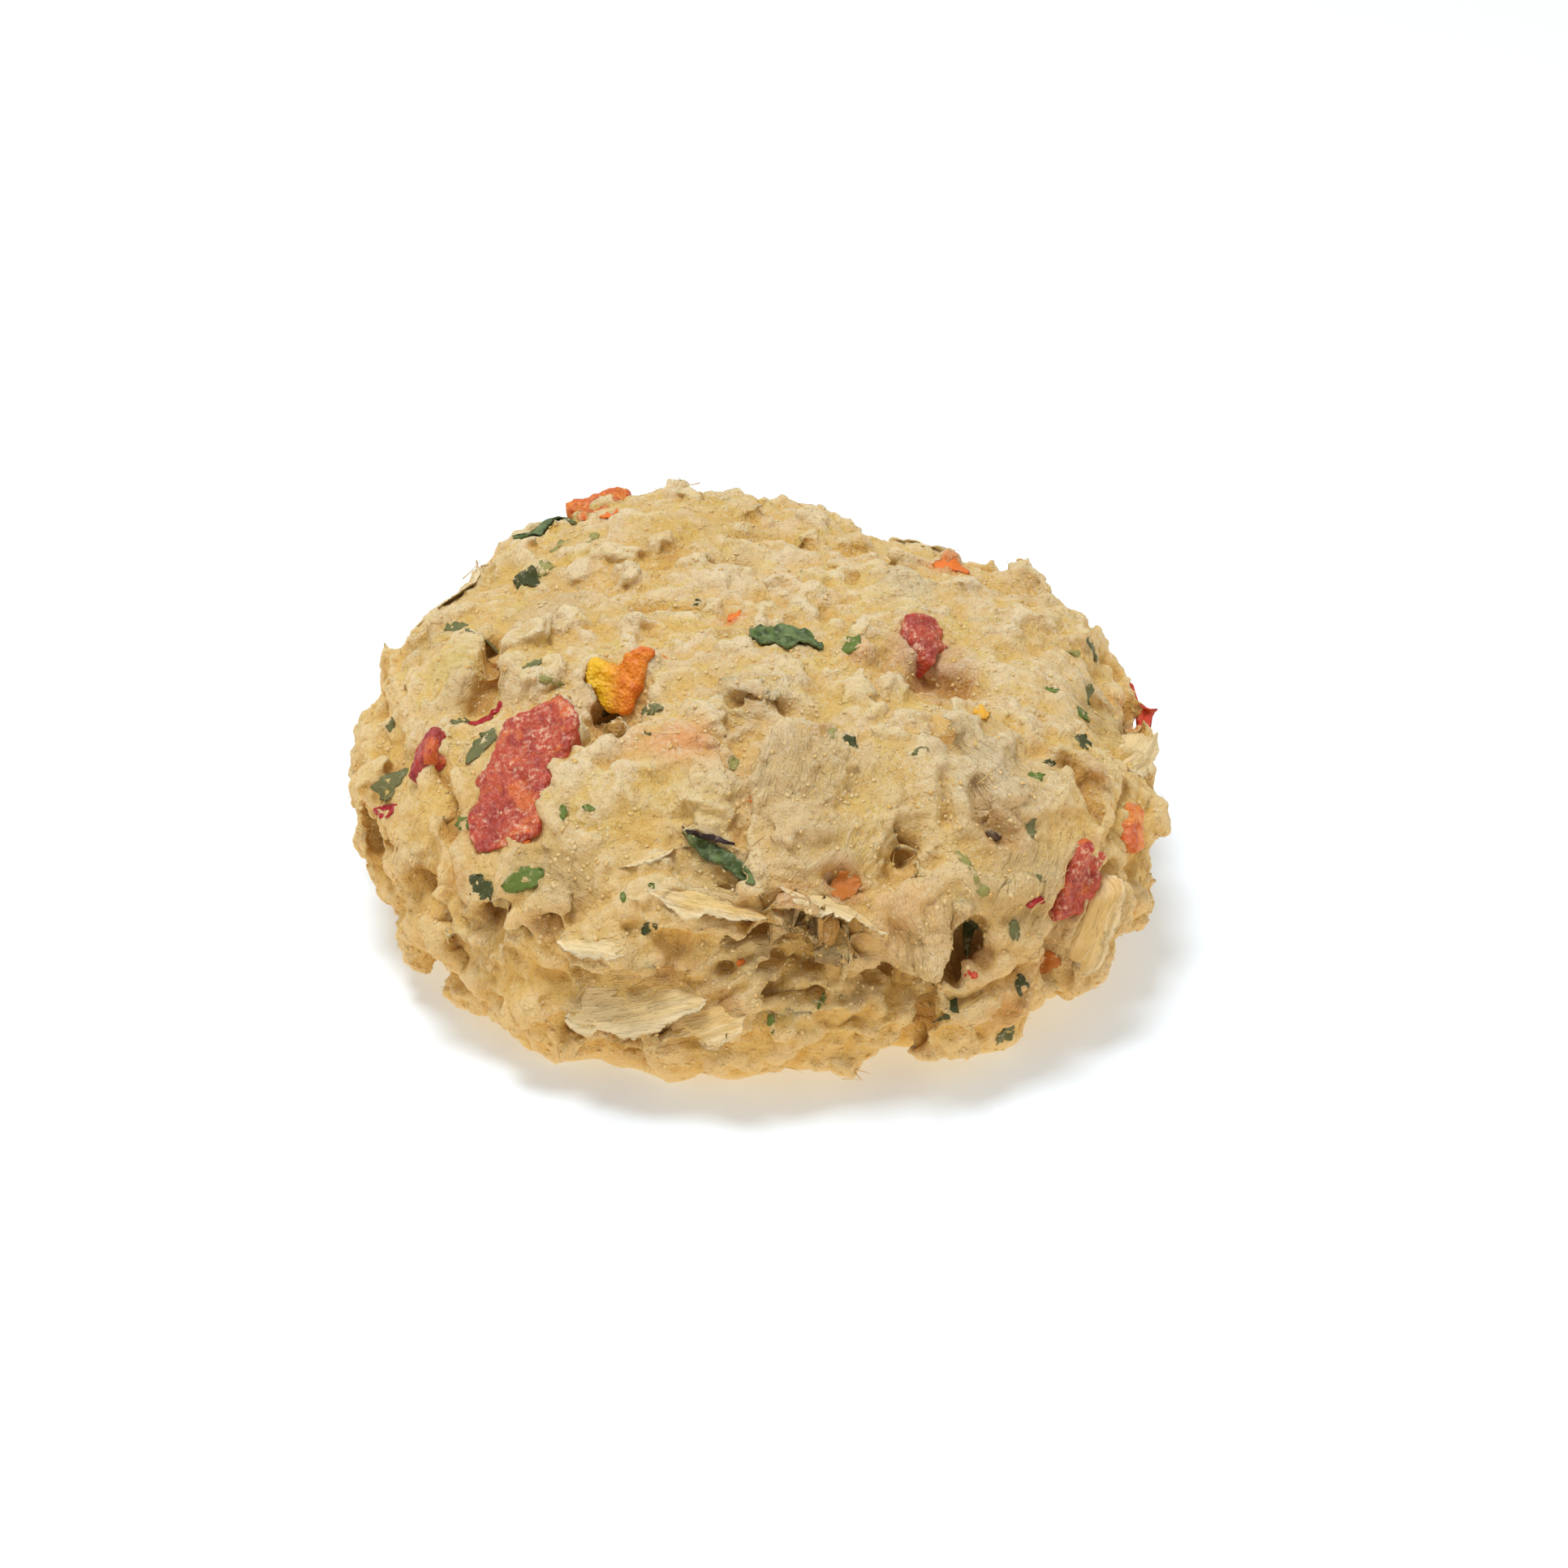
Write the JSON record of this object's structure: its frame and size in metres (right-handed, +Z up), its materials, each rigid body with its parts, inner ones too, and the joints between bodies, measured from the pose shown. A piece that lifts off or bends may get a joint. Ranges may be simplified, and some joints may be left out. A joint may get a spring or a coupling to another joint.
{
  "type": "crab cake",
  "caption": "Thick hand-shaped patty of crab flakes bound with soft crumb, with diced peppers and parsley pressed into its surface.",
  "frame": {"origin": "middle of the flat underside, where the patty rests", "axes": "+Z up through the patty's thickness; -Y is the side with the torn crab flakes and the large dice of red pepper at its left"},
  "size_m": [0.076, 0.0785, 0.0315],
  "materials": {
    "batter": "moist crab flakes and soft crumb, matte with a faint frost",
    "red_pepper": "wet, with frost granules",
    "orange_pepper": "wet",
    "parsley": "matte leaf"
  },
  "bodies": {
    "root": {"crab_cake": "batter", "red_pepper_front": "red_pepper", "red_pepper_left": "red_pepper", "red_pepper_top": "red_pepper", "red_pepper_right": "red_pepper", "orange_pepper_front": "orange_pepper", "orange_pepper_back": "orange_pepper", "orange_pepper_right": "orange_pepper", "parsley_leaf_top": "parsley", "parsley_leaf_front": "parsley", "parsley_leaf_back": "parsley"}
  },
  "joints": []
}
